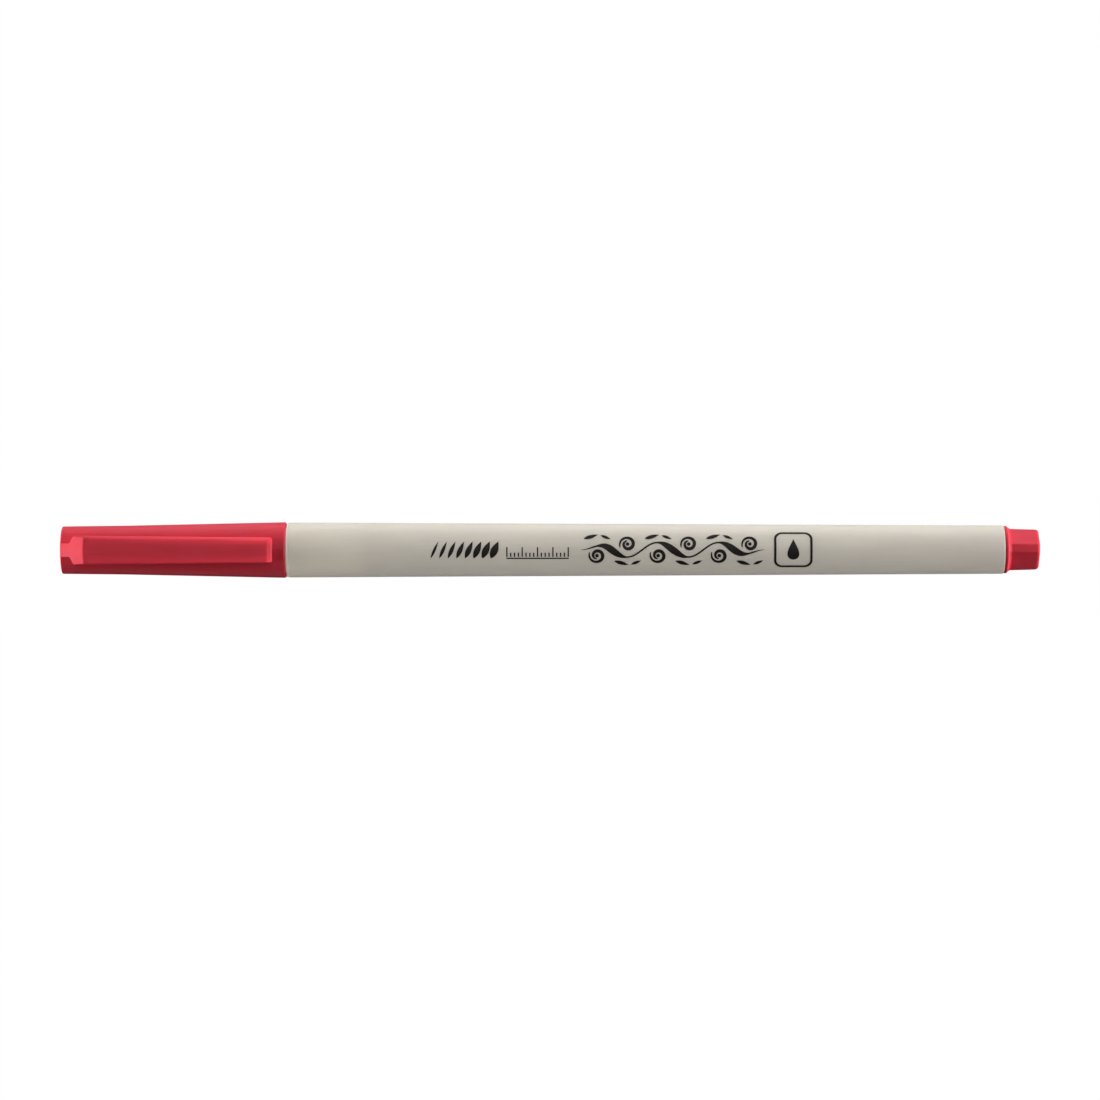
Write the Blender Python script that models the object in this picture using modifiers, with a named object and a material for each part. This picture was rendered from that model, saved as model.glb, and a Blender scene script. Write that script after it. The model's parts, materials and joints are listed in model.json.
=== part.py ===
"""A capped brush pen, built from its separate pieces.

The pen is drawn standing on its tail: local Z is the distance from the tail face towards the cap, and local X
points to the clip side. A parent empty then lays it down, so in the world the pen lies along X with its cap
towards -X, its clip on top (+Z) and the centre of its tail face at the origin. Sizes are in millimetres.
"""

import math

import bmesh
import bpy
from mathutils import Matrix, Vector

MM = 0.001  # scene units are metres

# Driving dimensions
LENGTH = 160.0  # capped, end to end
BARREL_FRONT_RADIUS = 4.50
BARREL_TAIL_RADIUS = 3.96
CAP_LENGTH = 36.75
CAP_MOUTH_RADIUS = 4.56
CAP_KNEE_RADIUS = 4.00  # the cap is nearly straight from its end to the knee, then flares to its mouth
CAP_END_RADIUS = 3.89
CAP_KNEE = 10.4  # distance of the knee from the cap's end
TIP_RADIUS = 1.0
TIP_LENGTH = 6.3

# Clearances
PRESS_GAP = 0.05  # between pieces that are pressed together
SLIDE_GAP = 0.10  # between pieces that slide or turn

# Stations along the axis, measured from the tail face
COLLAR_FOOT = 4.68
COLLAR_RIM = 5.28
COLLAR_BACK = 5.70
BARREL_TAIL = COLLAR_BACK + PRESS_GAP
BARREL_FRONT = 122.88
CAP_MOUTH = LENGTH - CAP_LENGTH
PLUG_STEM_END = 14.2
RESERVOIR_BACK = 14.5
RESERVOIR_FRONT = 110.4
STEM_BACK = 111.0
NECK_FRONT = 134.0
LAND_BACK = 139.5
NOSE_FRONT = 144.6
TIP_PIVOT = 148.5
INNER_CAP_LIP = 140.2
INNER_CAP_END = 158.2
CAP_END_WALL = 158.4  # inner face of the cap's end wall
CLIP_HINGE = 158.35

# Radii
PLUG_SOCKET = 3.14
CHAMBER_BACK = 3.22
CHAMBER_FRONT = 3.30
FRONT_SOCKET = 3.56
NECK_RADIUS = 3.66
FLANGE_RADIUS = 4.46  # the front section's flange, between the barrel's end and the cap's mouth
LAND_RADIUS = 2.55
HOLDER_SEAT = 1.78
NIB_BORE = 1.04
WICK_RADIUS = 0.85
RESERVOIR_RADIUS = 2.93
FILM_THICKNESS = 0.10
CAP_BORE = 3.90
CAP_INNER = 3.30
INNER_CAP_RADIUS = 3.05

# Tail plug boss: a square prism with its corners cut, slightly turned from the clip's direction
BOSS_CORNER_RADIUS = 3.42
BOSS_END_RADIUS = 3.31
BOSS_FLAT_ARC = math.radians(68)  # angle that each wide flat spans
PLUG_TURN = math.radians(4.5)

# Clip
CLIP_TOP = 6.10
CLIP_ROOT_HALF_WIDTH = 2.33
CLIP_TIP_HALF_WIDTH = 2.05
CLIP_NECK_HALF_WIDTH = 1.12
CLIP_TIP = 125.33
CLIP_CREST = 156.06  # where the ramp from the cap's end meets the flat top
CLIP_SHOULDER = 157.62  # the clip narrows from here to the front of its neck
CLIP_NECK_FRONT = 158.27
CLIP_HINGE_HEIGHT = 4.05

SEGMENTS = 40
FINE_SEGMENTS = 28
FILLET_STEPS = 2
SCREW_MERGE = 1e-6

RED = (0.62, 0.035, 0.065)
GREY = (0.58, 0.55, 0.49)
WHITE = (0.80, 0.79, 0.75)
INK_RED = (0.45, 0.01, 0.03)
FILM = (0.85, 0.86, 0.88)


def clear_scene():
    for obj in list(bpy.data.objects):
        bpy.data.objects.remove(obj)


def new_collection(name, hidden=False):
    collection = bpy.data.collections.new(name)
    collection.hide_render = hidden
    bpy.context.scene.collection.children.link(collection)
    return collection


def new_material(name, colour, roughness):
    material = bpy.data.materials.new(name)
    material.use_nodes = True
    shader = material.node_tree.nodes["Principled BSDF"]
    shader.inputs["Base Color"].default_value = (*colour, 1.0)
    shader.inputs["Roughness"].default_value = roughness
    shader.inputs["Metallic"].default_value = 0.0
    return material


# ---------------------------------------------------------------- shape helpers


def filleted(corners, closed):
    """(a, b) points of an outline given as (a, b) or (a, b, fillet radius) corners."""
    points = []
    count = len(corners)
    for i, corner in enumerate(corners):
        here = Vector(corner[:2])
        radius = corner[2] if len(corner) > 2 else 0.0
        if radius == 0.0 or (not closed and i in (0, count - 1)):
            points.append(tuple(here))
            continue
        back = (Vector(corners[i - 1][:2]) - here).normalized()
        ahead = (Vector(corners[(i + 1) % count][:2]) - here).normalized()
        half = back.angle(ahead) / 2
        centre = here + (back + ahead).normalized() * radius / math.sin(half)
        start = here + back * radius / math.tan(half) - centre
        turn = start.angle_signed(here + ahead * radius / math.tan(half) - centre)
        for k in range(FILLET_STEPS + 1):
            spoke = start.copy()
            spoke.rotate(Matrix.Rotation(-turn * k / FILLET_STEPS, 2))
            points.append(tuple(centre + spoke))
    return points


def place(obj, collection, parent, material=None):
    collection.objects.link(obj)
    obj.parent = parent
    if material:
        obj.data.materials.append(material)
    return obj


def turned(name, corners, closed=True, segments=SEGMENTS, origin=0.0):
    """A piece turned about Z from (radius, height) corners, listed down its outer side and up its bore."""
    points = filleted(corners, closed)
    last = len(points) - 1
    edges = [(i, i + 1) for i in range(last)]
    if closed:
        edges.append((last, 0))
    mesh = bpy.data.meshes.new(name)
    mesh.from_pydata([(r * MM, 0, (z - origin) * MM) for r, z in points], edges, [])
    obj = bpy.data.objects.new(name, mesh)
    obj.location.z = origin * MM
    screw = obj.modifiers.new("Turn", "SCREW")
    screw.axis = "Z"
    screw.steps = screw.render_steps = segments
    screw.use_merge_vertices = True
    screw.merge_threshold = SCREW_MERGE
    return obj


def plate(name, outline, thickness, across):
    """A flat plate. Its outline is drawn in the plane of Z and the axis that isn't across."""
    curve = bpy.data.curves.new(name, "CURVE")
    curve.dimensions = "2D"
    curve.fill_mode = "BOTH"
    curve.extrude = thickness / 2 * MM
    spline = curve.splines.new("POLY")
    spline.points.add(len(outline) - 1)
    for point, (a, z) in zip(spline.points, outline):
        point.co = (a * MM, z * MM, 0, 1)
    spline.use_cyclic_u = True
    drawn = bpy.data.objects.new(name, curve)
    bpy.context.scene.collection.objects.link(drawn)
    graph = bpy.context.evaluated_depsgraph_get()
    mesh = bpy.data.meshes.new_from_object(drawn.evaluated_get(graph))
    bpy.data.objects.remove(drawn)
    if across == "Y":
        turn = Matrix.Rotation(math.radians(90), 4, "X")
    else:
        turn = Matrix.Rotation(math.radians(90), 4, "Z") @ Matrix.Rotation(math.radians(90), 4, "X")
    mesh.transform(turn)
    work = bmesh.new()
    work.from_mesh(mesh)
    bmesh.ops.remove_doubles(work, verts=work.verts, dist=SCREW_MERGE)
    bmesh.ops.recalc_face_normals(work, faces=work.faces)
    work.to_mesh(mesh)
    work.free()
    return bpy.data.objects.new(name, mesh)


def box(name, low, high, turn=0.0):
    """A box between two corners, turned about Z."""
    low, high = Vector(low) * MM, Vector(high) * MM
    work = bmesh.new()
    bmesh.ops.create_cube(work, size=1.0)
    size = high - low
    bmesh.ops.transform(work, matrix=Matrix.Diagonal((*size, 1.0)), verts=work.verts)
    bmesh.ops.translate(work, vec=(low + high) / 2, verts=work.verts)
    bmesh.ops.rotate(work, matrix=Matrix.Rotation(turn, 3, "Z"), verts=work.verts)
    mesh = bpy.data.meshes.new(name)
    work.to_mesh(mesh)
    work.free()
    return bpy.data.objects.new(name, mesh)


def combine(obj, other, operation):
    modifier = obj.modifiers.new(other.name, "BOOLEAN")
    modifier.operation = operation
    modifier.object = other
    other.hide_render = True
    other.display_type = "WIRE"


# ---------------------------------------------------------------- pieces of the barrel


def barrel_radius(height):
    share = (height - BARREL_TAIL) / (BARREL_FRONT - BARREL_TAIL)
    return BARREL_TAIL_RADIUS + share * (BARREL_FRONT_RADIUS - BARREL_TAIL_RADIUS)


def make_barrel(collection, cutters, pen, material):
    """Tapered tube. Its chamber has four ribs that centre the reservoir and leave air channels beside it."""
    rib_width, rib_inner = 0.5, RESERVOIR_RADIUS + FILM_THICKNESS + 0.10
    chamfer_length, chamfer_depth = 0.12, 0.08
    obj = turned(
        "barrel",
        [
            (BARREL_FRONT_RADIUS - chamfer_depth, BARREL_FRONT),
            (BARREL_FRONT_RADIUS, BARREL_FRONT - chamfer_length),
            (barrel_radius(BARREL_TAIL + 0.15), BARREL_TAIL + 0.15),
            (BARREL_TAIL_RADIUS - 0.10, BARREL_TAIL),
            (PLUG_SOCKET + 0.15, BARREL_TAIL),
            (PLUG_SOCKET, BARREL_TAIL + 0.4),
            (PLUG_SOCKET, RESERVOIR_BACK),
            (CHAMBER_BACK, RESERVOIR_BACK + 0.1),
            (CHAMBER_FRONT, STEM_BACK - 0.3),
            (FRONT_SOCKET, STEM_BACK - 0.2),
            (FRONT_SOCKET, BARREL_FRONT - 0.3),
            (FRONT_SOCKET + 0.2, BARREL_FRONT),
        ],
    )
    place(obj, collection, pen, material)
    for i in range(4):
        rib = box(
            f"barrel_rib_{i}",
            (rib_inner, -rib_width / 2, RESERVOIR_BACK + 0.5),
            (CHAMBER_FRONT + 0.3, rib_width / 2, RESERVOIR_FRONT - 0.5),
            turn=math.radians(45 + 90 * i),
        )
        combine(obj, place(rib, cutters, pen), "UNION")


def make_boss(name):
    """Square prism with its corners cut, a slight draft and a rounded end, below the collar."""
    overlap, end_fillet, end_steps = 0.3, 0.4, 3
    flat_distance = BOSS_CORNER_RADIUS * math.cos(BOSS_FLAT_ARC / 2)
    square_corner = flat_distance * math.sqrt(2)
    cut_distance = BOSS_CORNER_RADIUS * math.cos(math.radians(45) - BOSS_FLAT_ARC / 2)
    corner_cut = (square_corner - cut_distance) * math.sqrt(2)
    height = COLLAR_FOOT + overlap
    work = bmesh.new()
    bmesh.ops.create_cone(
        work,
        cap_ends=True,
        segments=4,
        radius1=square_corner * BOSS_END_RADIUS / BOSS_CORNER_RADIUS * MM,
        radius2=square_corner * MM,
        depth=height * MM,
    )
    bmesh.ops.translate(work, vec=(0, 0, height / 2 * MM), verts=work.verts)
    bmesh.ops.rotate(work, matrix=Matrix.Rotation(PLUG_TURN, 3, "Z"), verts=work.verts)
    long_edges = [e for e in work.edges if abs(e.verts[0].co.z - e.verts[1].co.z) > height / 2 * MM]
    bmesh.ops.bevel(work, geom=long_edges, offset=corner_cut * MM, segments=1, affect="EDGES")
    end_edges = [e for e in work.edges if max(v.co.z for v in e.verts) < 0.01 * MM]
    bmesh.ops.bevel(
        work, geom=end_edges, offset=end_fillet * MM, segments=end_steps, profile=0.5, affect="EDGES"
    )
    mesh = bpy.data.meshes.new(name)
    work.to_mesh(mesh)
    work.free()
    return bpy.data.objects.new(name, mesh)


def make_tail_plug(collection, cutters, pen, material):
    """Collar with a conical back, a posting boss, and a hollow stem with two sealing rings."""
    stem, ring = PLUG_SOCKET - 0.09, PLUG_SOCKET - 0.04
    rim, foot = 3.89, 3.42
    core_radius, core_floor = 2.15, 1.6
    rings = []
    for centre in (11.2, 8.4):
        rings += [(stem, centre + 0.45), (ring, centre + 0.2), (ring, centre - 0.2), (stem, centre - 0.45)]
    obj = turned(
        "tail_plug",
        [(0, PLUG_STEM_END), (stem - 0.35, PLUG_STEM_END), (stem, PLUG_STEM_END - 0.7)]
        + rings
        + [
            (stem, COLLAR_BACK),
            (rim, COLLAR_BACK),
            (rim, COLLAR_RIM),
            (foot, COLLAR_FOOT),
            (0, COLLAR_FOOT),
        ],
        closed=False,
    )
    place(obj, collection, pen, material)
    combine(obj, place(make_boss("tail_boss"), cutters, pen), "UNION")
    core = turned(
        "tail_core",
        [
            (0, PLUG_STEM_END + 1),
            (core_radius, PLUG_STEM_END + 1),
            (core_radius, core_floor),
            (0, core_floor),
        ],
        closed=False,
        segments=FINE_SEGMENTS,
    )
    combine(obj, place(core, cutters, pen), "DIFFERENCE")


def make_front_section(collection, pen, material):
    """Stem and flange that meet the barrel, neck with a snap bead, grip taper, sealing land and nose."""
    stem = FRONT_SOCKET - PRESS_GAP - 0.01
    flange_back, flange_front = BARREL_FRONT + PRESS_GAP, CAP_MOUTH - SLIDE_GAP
    bead, bead_height = NECK_RADIUS + 0.10, 127.0
    obj = turned(
        "front_section",
        [
            (LAND_RADIUS - 0.35, NOSE_FRONT),
            (LAND_RADIUS, NOSE_FRONT - 0.35, 0.2),
            (LAND_RADIUS, LAND_BACK, 0.5),
            (NECK_RADIUS, NECK_FRONT, 1.5),
            (NECK_RADIUS, bead_height + 0.6),
            (bead, bead_height + 0.25),
            (bead, bead_height - 0.25),
            (NECK_RADIUS, bead_height - 0.6),
            (NECK_RADIUS, flange_front),
            (FLANGE_RADIUS, flange_front),
            (FLANGE_RADIUS, flange_back),
            (stem, flange_back),
            (stem, STEM_BACK + 0.8),
            (stem - 0.25, STEM_BACK),
            (2.8, STEM_BACK),
            (2.8, 119.0, 0.5),
            (WICK_RADIUS + 0.15, 120.6),
            (WICK_RADIUS + 0.15, 137.1),
            (HOLDER_SEAT, 137.2),
            (HOLDER_SEAT, NOSE_FRONT),
        ],
    )
    place(obj, collection, pen, material)


def make_nib_holder(collection, pen, material):
    """Stepped ferrule that grips the nib and plugs into the nose."""
    seat, flange, nose, mouth = HOLDER_SEAT - PRESS_GAP, 1.95, 1.66, 1.30
    flange_back, flange_front, nose_front = NOSE_FRONT + PRESS_GAP, 145.4, 146.6
    obj = turned(
        "nib_holder",
        [
            (mouth, TIP_PIVOT, 0.12),
            (nose, nose_front, 0.3),
            (nose, flange_front),
            (flange, flange_front, 0.15),
            (flange, flange_back),
            (seat, flange_back),
            (seat, 138.0),
            (seat - 0.2, 137.4),
            (NIB_BORE, 137.4),
            (NIB_BORE, TIP_PIVOT),
        ],
        segments=FINE_SEGMENTS,
    )
    place(obj, collection, pen, material)


def make_nib(collection, pen, material):
    """The nib in two pieces: the shank that the holder grips, and the tip that bends at the holder's mouth.

    The tip's hidden end is a ball round its pivot, so that it can turn without touching the holder.
    """
    shank = NIB_BORE - 0.06
    ball, ball_steps, taper_steps, taper_power = shank, 4, 9, 1.8
    shank_front = TIP_PIVOT - ball - SLIDE_GAP
    shank_piece = turned(
        "nib_shank",
        [(0, shank_front), (shank, shank_front), (shank, 139.8), (shank - 0.1, 139.7), (0, 139.7)],
        closed=False,
        segments=FINE_SEGMENTS,
    )
    place(shank_piece, collection, pen, material)
    profile = []
    for k in range(taper_steps, 0, -1):
        share = k / taper_steps
        profile.append((TIP_RADIUS * (1 - share**taper_power), TIP_PIVOT + share * TIP_LENGTH))
    for k in range(ball_steps + 1):
        angle = math.radians(90) * k / ball_steps
        profile.append((ball * math.cos(angle), TIP_PIVOT - ball * math.sin(angle)))
    profile[0] = (0, profile[0][1])
    profile[-1] = (0, profile[-1][1])
    tip = turned("brush_tip", profile, closed=False, segments=FINE_SEGMENTS, origin=TIP_PIVOT)
    place(tip, collection, pen, material)


def make_ink_supply(collection, pen, fibre, film):
    """Relay core, fibre reservoir with the hole that the core enters, and the film round the reservoir."""
    core_back, hole_back = 104.0, 103.6
    core = turned(
        "relay_core",
        [
            (0, 139.65),
            (WICK_RADIUS, 139.65),
            (WICK_RADIUS, core_back + 1.2),
            (0.25, core_back),
            (0, core_back),
        ],
        closed=False,
        segments=FINE_SEGMENTS,
    )
    place(core, collection, pen, fibre)
    hole = WICK_RADIUS + 0.08
    reservoir = turned(
        "ink_reservoir",
        [
            (0, hole_back),
            (hole, hole_back),
            (hole, RESERVOIR_FRONT),
            (RESERVOIR_RADIUS, RESERVOIR_FRONT, 0.2),
            (RESERVOIR_RADIUS, RESERVOIR_BACK + 0.2, 0.2),
            (0, RESERVOIR_BACK + 0.2),
        ],
        closed=False,
    )
    place(reservoir, collection, pen, fibre)
    outer = RESERVOIR_RADIUS + 0.04 + FILM_THICKNESS
    wrapper = turned(
        "reservoir_film",
        [
            (outer, RESERVOIR_FRONT + 0.2),
            (outer, RESERVOIR_BACK),
            (outer - FILM_THICKNESS, RESERVOIR_BACK),
            (outer - FILM_THICKNESS, RESERVOIR_FRONT + 0.2),
        ],
    )
    place(wrapper, collection, pen, film)


# ---------------------------------------------------------------- pieces of the cap


def ramp_height(height):
    """Height of the clip's sloping root above the pen's axis, from the cap's end to the crest."""
    share = (LENGTH - height) / (LENGTH - CLIP_CREST)
    return CAP_END_RADIUS + share * (CLIP_TOP - CAP_END_RADIUS)


def make_cap_shell(collection, cutters, pen, material):
    """Cap tube with a vented end, ribs that hold the inner cap, a snap groove, and the clip neck's foot."""
    vent, bead = 1.8, CAP_BORE - 0.08
    obj = turned(
        "cap_shell",
        [
            (vent + 0.15, LENGTH),
            (CAP_END_RADIUS, LENGTH, 0.15),
            (CAP_KNEE_RADIUS, LENGTH - CAP_KNEE, 12.0),
            (CAP_MOUTH_RADIUS, CAP_MOUTH + 0.22, 0.1),
            (CAP_MOUTH_RADIUS - 0.18, CAP_MOUTH),
            (CAP_BORE + 0.2, CAP_MOUTH),
            (CAP_BORE, CAP_MOUTH + 0.4),
            (CAP_BORE, 127.9),
            (bead, 128.2),
            (bead, 128.6),
            (CAP_BORE, 128.9),
            (CAP_BORE, 134.3, 1.0),
            (CAP_INNER, 138.6, 1.0),
            (CAP_INNER, CAP_END_WALL),
            (vent, CAP_END_WALL),
            (vent, LENGTH - 0.15),
        ],
    )
    place(obj, collection, pen, material)
    rib_width, rib_inner, ribs = 0.6, INNER_CAP_RADIUS + PRESS_GAP, 6
    for i in range(ribs):
        rib = box(
            f"cap_rib_{i}",
            (rib_inner, -rib_width / 2, 142.0),
            (CAP_INNER + 0.2, rib_width / 2, CAP_END_WALL + 0.3),
            turn=math.radians(360 / ribs * (i + 0.5)),
        )
        combine(obj, place(rib, cutters, pen), "UNION")
    neck_back = CLIP_HINGE + SLIDE_GAP
    neck_end = LENGTH - 0.1
    neck = plate(
        "clip_neck_foot",
        [
            (CAP_END_RADIUS - 0.3, neck_back),
            (ramp_height(neck_back), neck_back),
            (ramp_height(neck_end), neck_end),
            (CAP_END_RADIUS - 0.3, neck_end),
        ],
        2 * CLIP_NECK_HALF_WIDTH,
        across="Y",
    )
    combine(obj, place(neck, cutters, pen), "UNION")


def make_inner_cap(collection, pen, material):
    """Closed cup that seals over the front section's land."""
    seal, cavity, end_wall = LAND_RADIUS + PRESS_GAP, 2.45, 0.6
    obj = turned(
        "inner_cap",
        [
            (0, INNER_CAP_END),
            (INNER_CAP_RADIUS, INNER_CAP_END, 0.3),
            (INNER_CAP_RADIUS, INNER_CAP_LIP, 0.1),
            (seal + 0.1, INNER_CAP_LIP),
            (seal, INNER_CAP_LIP + 0.3),
            (seal, NOSE_FRONT),
            (cavity, NOSE_FRONT + 0.6),
            (cavity, INNER_CAP_END - end_wall, 0.6),
            (0, INNER_CAP_END - end_wall),
        ],
        closed=False,
    )
    place(obj, collection, pen, material)


def make_clip(collection, cutters, pen, material):
    """Spring arm: a side profile cut to its plan outline. Its origin is on the hinge line at the neck."""
    arm_under, bump_under = 4.95, 4.75
    side = filleted(
        [
            (5.05, CLIP_TIP),
            (5.65, CLIP_TIP, 0.15),
            (CLIP_TOP, CLIP_TIP + 1.5, 2.0),
            (CLIP_TOP, CLIP_CREST),
            (ramp_height(CLIP_HINGE), CLIP_HINGE),
            (CLIP_HINGE_HEIGHT, CLIP_HINGE),
            (CLIP_HINGE_HEIGHT, CLIP_SHOULDER),
            (arm_under, CLIP_CREST - 0.3, 0.6),
            (arm_under, CLIP_TIP + 5.7, 1.0),
            (bump_under, CLIP_TIP + 3.1, 1.0),
            (bump_under, CLIP_TIP + 1.5, 1.0),
        ],
        closed=True,
    )
    plan = filleted(
        [
            (CLIP_TIP_HALF_WIDTH, CLIP_TIP - 0.05, 0.4),
            (CLIP_ROOT_HALF_WIDTH, CLIP_SHOULDER, 0.15),
            (CLIP_NECK_HALF_WIDTH, CLIP_NECK_FRONT),
            (CLIP_NECK_HALF_WIDTH, CLIP_HINGE + 0.5),
            (-CLIP_NECK_HALF_WIDTH, CLIP_HINGE + 0.5),
            (-CLIP_NECK_HALF_WIDTH, CLIP_NECK_FRONT),
            (-CLIP_ROOT_HALF_WIDTH, CLIP_SHOULDER, 0.15),
            (-CLIP_TIP_HALF_WIDTH, CLIP_TIP - 0.05, 0.4),
        ],
        closed=True,
    )
    obj = plate("clip", side, 2 * CLIP_ROOT_HALF_WIDTH + 1, across="Y")
    hinge = Vector((CLIP_HINGE_HEIGHT, 0, CLIP_HINGE)) * MM
    obj.data.transform(Matrix.Translation(-hinge))
    obj.location = hinge
    place(obj, collection, pen, material)
    cutter = plate("clip_plan", plan, 4 * CLIP_TOP, across="X")
    combine(obj, place(cutter, cutters, pen), "INTERSECT")


def build_pen():
    clear_scene()
    parts = new_collection("brush_pen")
    cutters = new_collection("cutters", hidden=True)
    pen = bpy.data.objects.new("pen_axis", None)
    pen.rotation_euler.y = math.radians(-90)
    parts.objects.link(pen)
    red = new_material("red_plastic", RED, 0.35)
    grey = new_material("grey_plastic", GREY, 0.4)
    white = new_material("white_plastic", WHITE, 0.4)
    ink_fibre = new_material("inked_fibre", INK_RED, 0.9)
    film = new_material("clear_film", FILM, 0.2)
    make_barrel(parts, cutters, pen, grey)
    make_tail_plug(parts, cutters, pen, red)
    make_front_section(parts, pen, white)
    make_nib_holder(parts, pen, white)
    make_nib(parts, pen, ink_fibre)
    make_ink_supply(parts, pen, ink_fibre, film)
    make_cap_shell(parts, cutters, pen, red)
    make_inner_cap(parts, pen, white)
    make_clip(parts, cutters, pen, red)
    bpy.context.view_layer.update()


build_pen()
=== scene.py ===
"""The looks of the capped brush pen: fine surfaces, materials, printing, floor, light and camera.

The pen lies along X with its tail face at the origin, its cap towards -X and its clip on top (+Z).
Angles round the pen are counted from +Z towards +Y. Lengths are in metres; MM turns millimetres into metres.
"""

import json
import math

import bmesh
import bpy
from mathutils import Matrix, Vector


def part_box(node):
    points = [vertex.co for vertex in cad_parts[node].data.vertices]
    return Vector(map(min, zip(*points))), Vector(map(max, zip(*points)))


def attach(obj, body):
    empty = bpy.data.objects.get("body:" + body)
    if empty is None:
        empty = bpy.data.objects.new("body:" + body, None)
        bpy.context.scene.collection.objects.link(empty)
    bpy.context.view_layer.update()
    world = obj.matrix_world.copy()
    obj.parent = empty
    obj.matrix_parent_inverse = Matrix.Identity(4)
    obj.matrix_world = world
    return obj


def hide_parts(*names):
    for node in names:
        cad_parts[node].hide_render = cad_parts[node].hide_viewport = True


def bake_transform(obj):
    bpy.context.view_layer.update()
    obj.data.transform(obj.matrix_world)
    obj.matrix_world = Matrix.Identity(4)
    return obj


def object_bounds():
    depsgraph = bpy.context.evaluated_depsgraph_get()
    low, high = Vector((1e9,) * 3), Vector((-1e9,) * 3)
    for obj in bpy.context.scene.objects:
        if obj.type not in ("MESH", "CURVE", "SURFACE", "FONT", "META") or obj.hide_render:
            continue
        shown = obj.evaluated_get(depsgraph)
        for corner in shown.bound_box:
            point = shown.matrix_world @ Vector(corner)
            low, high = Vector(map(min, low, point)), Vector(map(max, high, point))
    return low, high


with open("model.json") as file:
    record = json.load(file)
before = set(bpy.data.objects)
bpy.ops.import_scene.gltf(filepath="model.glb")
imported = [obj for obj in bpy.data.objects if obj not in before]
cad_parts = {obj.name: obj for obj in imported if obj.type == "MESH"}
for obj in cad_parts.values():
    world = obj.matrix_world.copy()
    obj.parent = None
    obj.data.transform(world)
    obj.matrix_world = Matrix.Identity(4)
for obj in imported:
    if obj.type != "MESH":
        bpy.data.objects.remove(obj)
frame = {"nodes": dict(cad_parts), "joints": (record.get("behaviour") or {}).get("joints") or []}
cad_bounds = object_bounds()

MM = 0.001
WELD = 1e-7
STRAIGHT = 1e-3  # an outline that turns by less than this, in radians, is straight

# Mesh density
ROUND_STEPS = 160  # points round a turned piece
SMALL_ROUND_STEPS = 96
CORNER_STEPS = 4
SHANK_STEPS = 10
TAPER_STEPS = 44
SHARP_ANGLE = math.radians(35)
OUTER_SHARE = 0.85  # a tube's outer surface lies beyond this share of its largest radius

# Tail plug: a square boss with cut corners, coved into a round collar
PLUG_TURN = math.radians(4.5)
BOSS_FLAT_ARC = math.radians(68)
BOSS_CORNER_RADIUS = 3.42 * MM
BOSS_END_RADIUS = 3.31 * MM
BOSS_EDGE_ROUNDING = 0.10 * MM
BOSS_END_ROUNDING = 0.55 * MM
COLLAR_RIM = -5.28 * MM
BOSS_FOOT = -4.53 * MM
COVE_POWER = 1.8
COVE_STEPS = 10
END_STEPS = 6
GATE_RADIUS = 0.45 * MM  # where the plastic entered the mould
GATE_DEPTH = 0.05 * MM

# Clip: stations along the pen, heights above its axis, and widths
CLIP_CREST = -156.06 * MM
CLIP_SHOULDER = -157.62 * MM
CLIP_NECK_FRONT = -158.33 * MM
CLIP_FOOT = -158.29 * MM
CLIP_NECK_HALF_WIDTH = 1.12 * MM
CLIP_ROOT_HALF_WIDTH = 2.33 * MM
CLIP_TIP_HALF_WIDTH = 2.05 * MM
CLIP_SUNK = 3.60 * MM
CLIP_UNDERSIDE = 4.95 * MM
CLIP_BUMP = 4.75 * MM
CLIP_CROWN_POWER = 3.2
CLIP_CROWN_SHARES = (0, 0.3, 0.5, 0.65, 0.78, 0.9, 1)
CLIP_FRONT_SHARE = 0.3  # the -Y side's sag and chamfer, as a share of those on the +Y side
CLIP_CHAMFER_SLOPE = 1.0
CLIP_EDGE_ROUNDING = 0.09 * MM
# Painted highlight on the clip's side edges, paler towards the tip: where it starts and is full across the
# clip, and how much paler
HIGHLIGHT_FROM = 0.7 * MM  # across the clip
HIGHLIGHT_TO = 1.9 * MM
PAINTED_HIGHLIGHT_LIGHTENING = 0.42
CLIP_TIP_SLOPE = 3.7 * MM  # length of the curve down to the tip's chamfer
CLIP_TIP_DROP = 0.50 * MM
CLIP_TIP_CHAMFER = 0.50 * MM
CLIP_TIP_CHAMFER_SLOPE = 1.0
CLIP_TIP_ROUNDING = 0.45 * MM
CLIP_TIP_CORNER = 0.3 * MM
CREST_ROUNDING = 0.10 * MM
CREST_ARCH = 0.20 * MM

# Ribs inside the cap
CAP_RIBS = 6
CAP_RIB_WIDTH = 0.6 * MM
CAP_RIB_FRONT = -142.0 * MM
CAP_RIB_GAP = 0.05 * MM
CAP_RIB_SUNK = 0.15 * MM
CAP_RIB_OVERHANG = 0.3 * MM
CAP_WALL_SPLIT = 3.6 * MM  # between the radii of the cap's inner and outer walls

# Printing on the barrel, on the clip's side, in mm from the tail face
INK_SUNK = 0.006 * MM
INK_PROUD = 0.010 * MM
FINE_LINE = 0.105
DABS_START, DABS_END = -99.6, -88.4
SCALE_START, SCALE_END = -87.1, -77.1
FLOURISH_START, FLOURISH_END = -75.0, -45.1
SIGN_MIDDLE = -40.4

# Studio
PEN_MIDDLE = Vector(((cad_bounds[0].x + cad_bounds[1].x) / 2, 0, 0))
CAMERA_HEIGHT = 672 * MM
CAMERA_FIELD = math.radians(15.29)
CAMERA_SHIFT = Vector((-0.07, -0.02, 0)) * MM
CAMERA_ROLL = -0.0006
FLOOR_HALF_SIZE = 1.5
FLOOR_COLOUR = (0.42, 0.42, 0.42)
FLOOR_GLOW = 1.02
FLOOR_GLOW_SHARE = 0.98
ROOM_LIGHT = 0.0
BACKDROP = 1.0
PANEL_SIZE = 0.3
PANEL_DISTANCE = 0.6
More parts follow.
